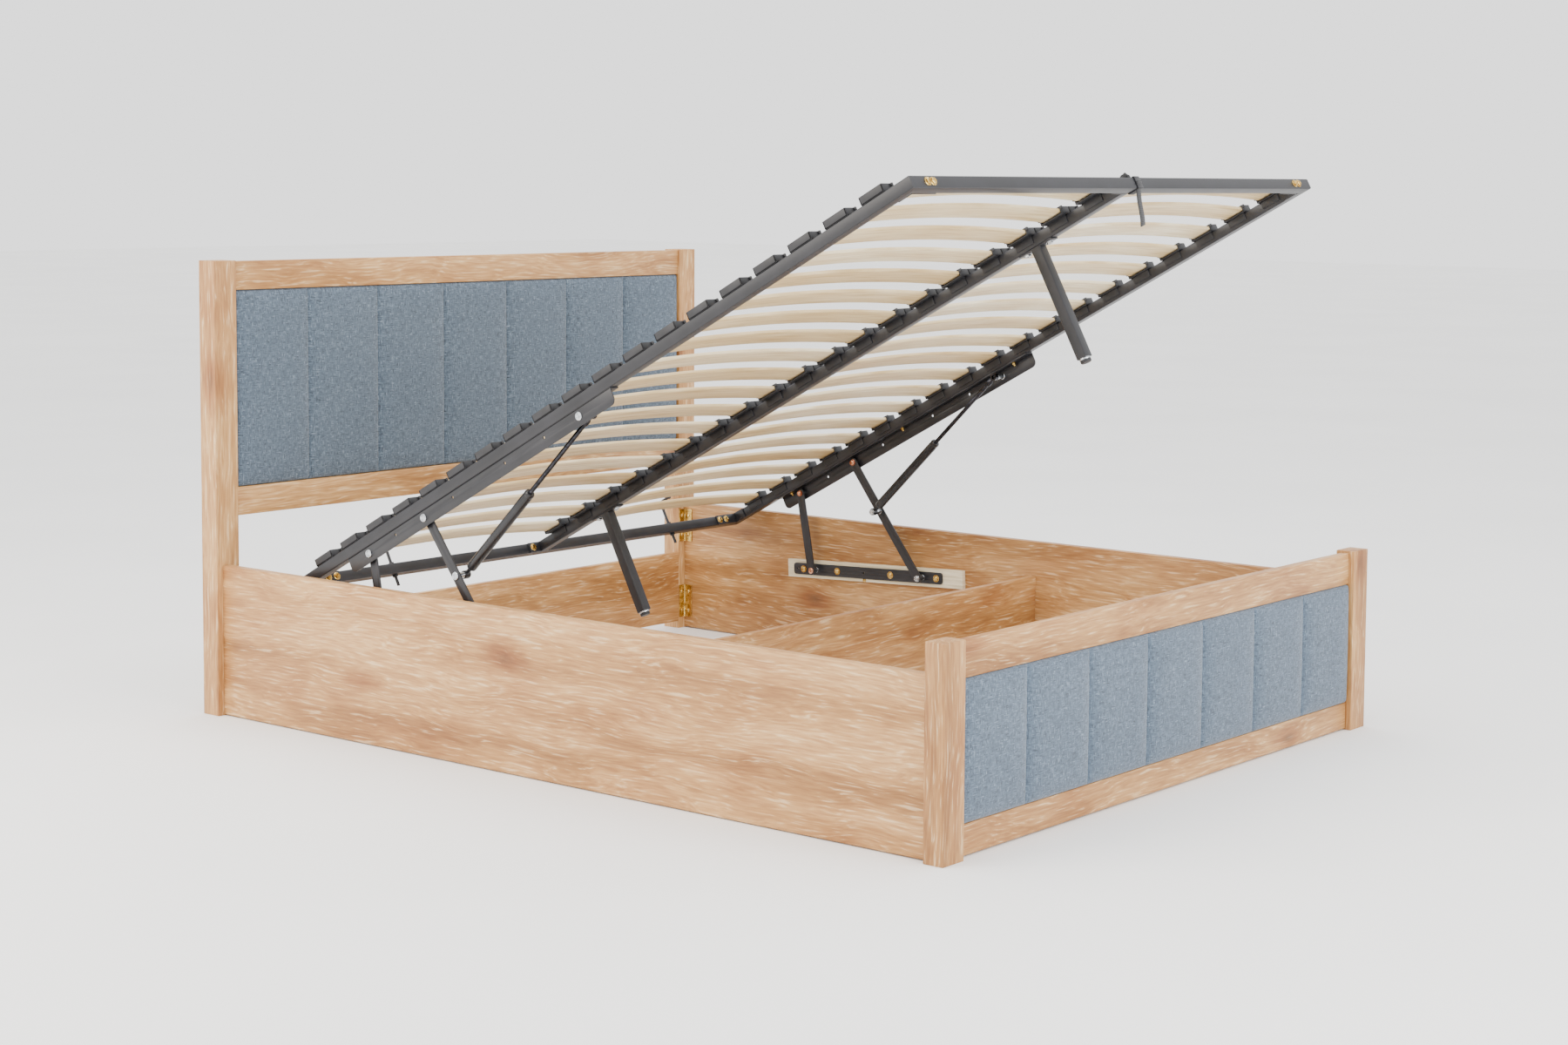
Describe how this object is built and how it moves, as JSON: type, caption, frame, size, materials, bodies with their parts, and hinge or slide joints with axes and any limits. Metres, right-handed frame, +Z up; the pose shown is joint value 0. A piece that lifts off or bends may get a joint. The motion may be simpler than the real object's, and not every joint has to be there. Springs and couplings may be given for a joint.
{
  "type": "ottoman bed",
  "caption": "King-size ottoman bed in oak foil with channelled fabric head and foot panels and a gas-lifted slatted base over two storage bays.",
  "frame": {"origin": "middle of the footprint on the floor, with the slatted base lifted", "axes": "+X across the width, +Y from the foot end to the head end, +Z up"},
  "size_m": [1.6, 2.12, 1.2551],
  "materials": {
    "oak_foil": "satin oak foil",
    "slate_fabric": "woven",
    "backing_board": "covered board",
    "yellow_zinc": "yellow passivated",
    "plywood": "raw",
    "black_steel": "powder coated",
    "bright_zinc": "bright zinc",
    "polished_rod": "ground",
    "birch": "lacquered",
    "black_plastic": "moulded",
    "black_webbing": "woven"
  },
  "bodies": {
    "bed_frame": {"base_bar_bolts": "yellow_zinc", "base_bar_left": "black_steel", "base_bar_right": "black_steel", "base_pivot_studs": "bright_zinc", "corner_bracket_bolts": "yellow_zinc", "corner_brackets": "yellow_zinc", "divider_board": "oak_foil", "foot_post_left": "oak_foil", "foot_post_right": "oak_foil", "footboard_back_panel": "backing_board", "footboard_bottom_rail": "oak_foil", "footboard_pad": "slate_fabric", "footboard_top_rail": "oak_foil", "head_end_board": "oak_foil", "head_post_left": "oak_foil", "head_post_right": "oak_foil", "headboard_back_panel": "backing_board", "headboard_lower_rail": "oak_foil", "headboard_pad": "slate_fabric", "headboard_top_rail": "oak_foil", "side_board_left": "oak_foil", "side_board_right": "oak_foil", "spacer_board_left": "plywood", "spacer_board_right": "plywood"},
    "lifting_base": {"base_centre_rail": "black_steel", "base_foot_rail": "black_steel", "base_frame_bolts": "yellow_zinc", "base_head_rail": "black_steel", "base_pivot_bolts": "bright_zinc", "base_side_rail_left": "black_steel", "base_side_rail_right": "black_steel", "handle_strap": "black_webbing", "lift_bracket_bolts": "yellow_zinc", "lift_bracket_left": "black_steel", "lift_bracket_right": "black_steel", "mattress_retainers": "black_steel", "slat_caps_centre": "black_plastic", "slat_caps_left": "black_plastic", "slat_caps_right": "black_plastic", "slats_left": "birch", "slats_right": "birch", "strut_upper_studs": "bright_zinc", "support_leg_bolts": "bright_zinc", "support_leg_glides": "black_plastic", "support_legs": "black_steel"},
    "front_link_left": {"front_link_left": "black_steel", "strut_lower_stud_left": "bright_zinc"},
    "rear_link_left": {"rear_link_left": "black_steel", "rear_link_pin_left": "bright_zinc"},
    "strut_cylinder_left": {"strut_cylinder_left": "black_steel"},
    "strut_rod_left": {"strut_rod_left": "polished_rod"},
    "front_link_right": {"front_link_right": "black_steel", "strut_lower_stud_right": "bright_zinc"},
    "rear_link_right": {"rear_link_right": "black_steel", "rear_link_pin_right": "bright_zinc"},
    "strut_cylinder_right": {"strut_cylinder_right": "black_steel"},
    "strut_rod_right": {"strut_rod_right": "polished_rod"}
  },
  "joints": [
    {"name": "lift", "type": "hinge", "parent": "bed_frame", "child": "front_link_left", "pos_m": [-0.725, 0.172, 0.224], "axis": [1, 0, 0], "range_deg": [-48.01, 0], "stiffness_Nm_per_rad": 90, "springref_deg": 114.59},
    {"name": "base_turn", "type": "hinge", "parent": "front_link_left", "child": "lifting_base", "pos_m": [-0.725, 0.38525, 0.5043], "axis": [1, 0, 0], "range_deg": [0, 76.12]},
    {"name": "front_link_right_turn", "type": "hinge", "parent": "bed_frame", "child": "front_link_right", "pos_m": [0.725, 0.172, 0.224], "axis": [1, 0, 0], "range_deg": [-48.02, 0]},
    {"name": "rear_link_left_turn", "type": "hinge", "parent": "lifting_base", "child": "rear_link_left", "pos_m": [-0.725, 0.56167, 0.4101], "axis": [1, 0, 0], "range_deg": [-94.82, 0]},
    {"name": "strut_left_turn", "type": "hinge", "parent": "front_link_left", "child": "strut_cylinder_left", "pos_m": [-0.6995, 0.29568, 0.38658], "axis": [1, 0, 0], "range_deg": [0, 90.46]},
    {"name": "strut_left_slide", "type": "slide", "parent": "strut_cylinder_left", "child": "strut_rod_left", "axis": [0, -0.716, 0.6981], "range_m": [-0.14452, 0]},
    {"name": "rear_link_right_turn", "type": "hinge", "parent": "lifting_base", "child": "rear_link_right", "pos_m": [0.725, 0.56167, 0.4101], "axis": [1, 0, 0], "range_deg": [-94.82, 0]},
    {"name": "strut_right_turn", "type": "hinge", "parent": "front_link_right", "child": "strut_cylinder_right", "pos_m": [0.6995, 0.29568, 0.38658], "axis": [1, 0, 0], "range_deg": [0, 90.46]},
    {"name": "strut_right_slide", "type": "slide", "parent": "strut_cylinder_right", "child": "strut_rod_right", "axis": [0, -0.716, 0.6981], "range_m": [-0.14452, 0]}
  ],
  "couplings": [
    {"joint": "base_turn", "follows": "lift", "ratio": -1.5852},
    {"joint": "front_link_right_turn", "follows": "lift", "ratio": 1},
    {"joint": "rear_link_left_turn", "follows": "lift", "ratio": 1.9746},
    {"joint": "strut_left_turn", "follows": "lift", "ratio": -1.8839},
    {"joint": "strut_left_slide", "follows": "lift", "m_per_rad": 0.17234},
    {"joint": "rear_link_right_turn", "follows": "lift", "ratio": 1.9746},
    {"joint": "strut_right_turn", "follows": "lift", "ratio": -1.8839},
    {"joint": "strut_right_slide", "follows": "lift", "m_per_rad": 0.17234}
  ]
}
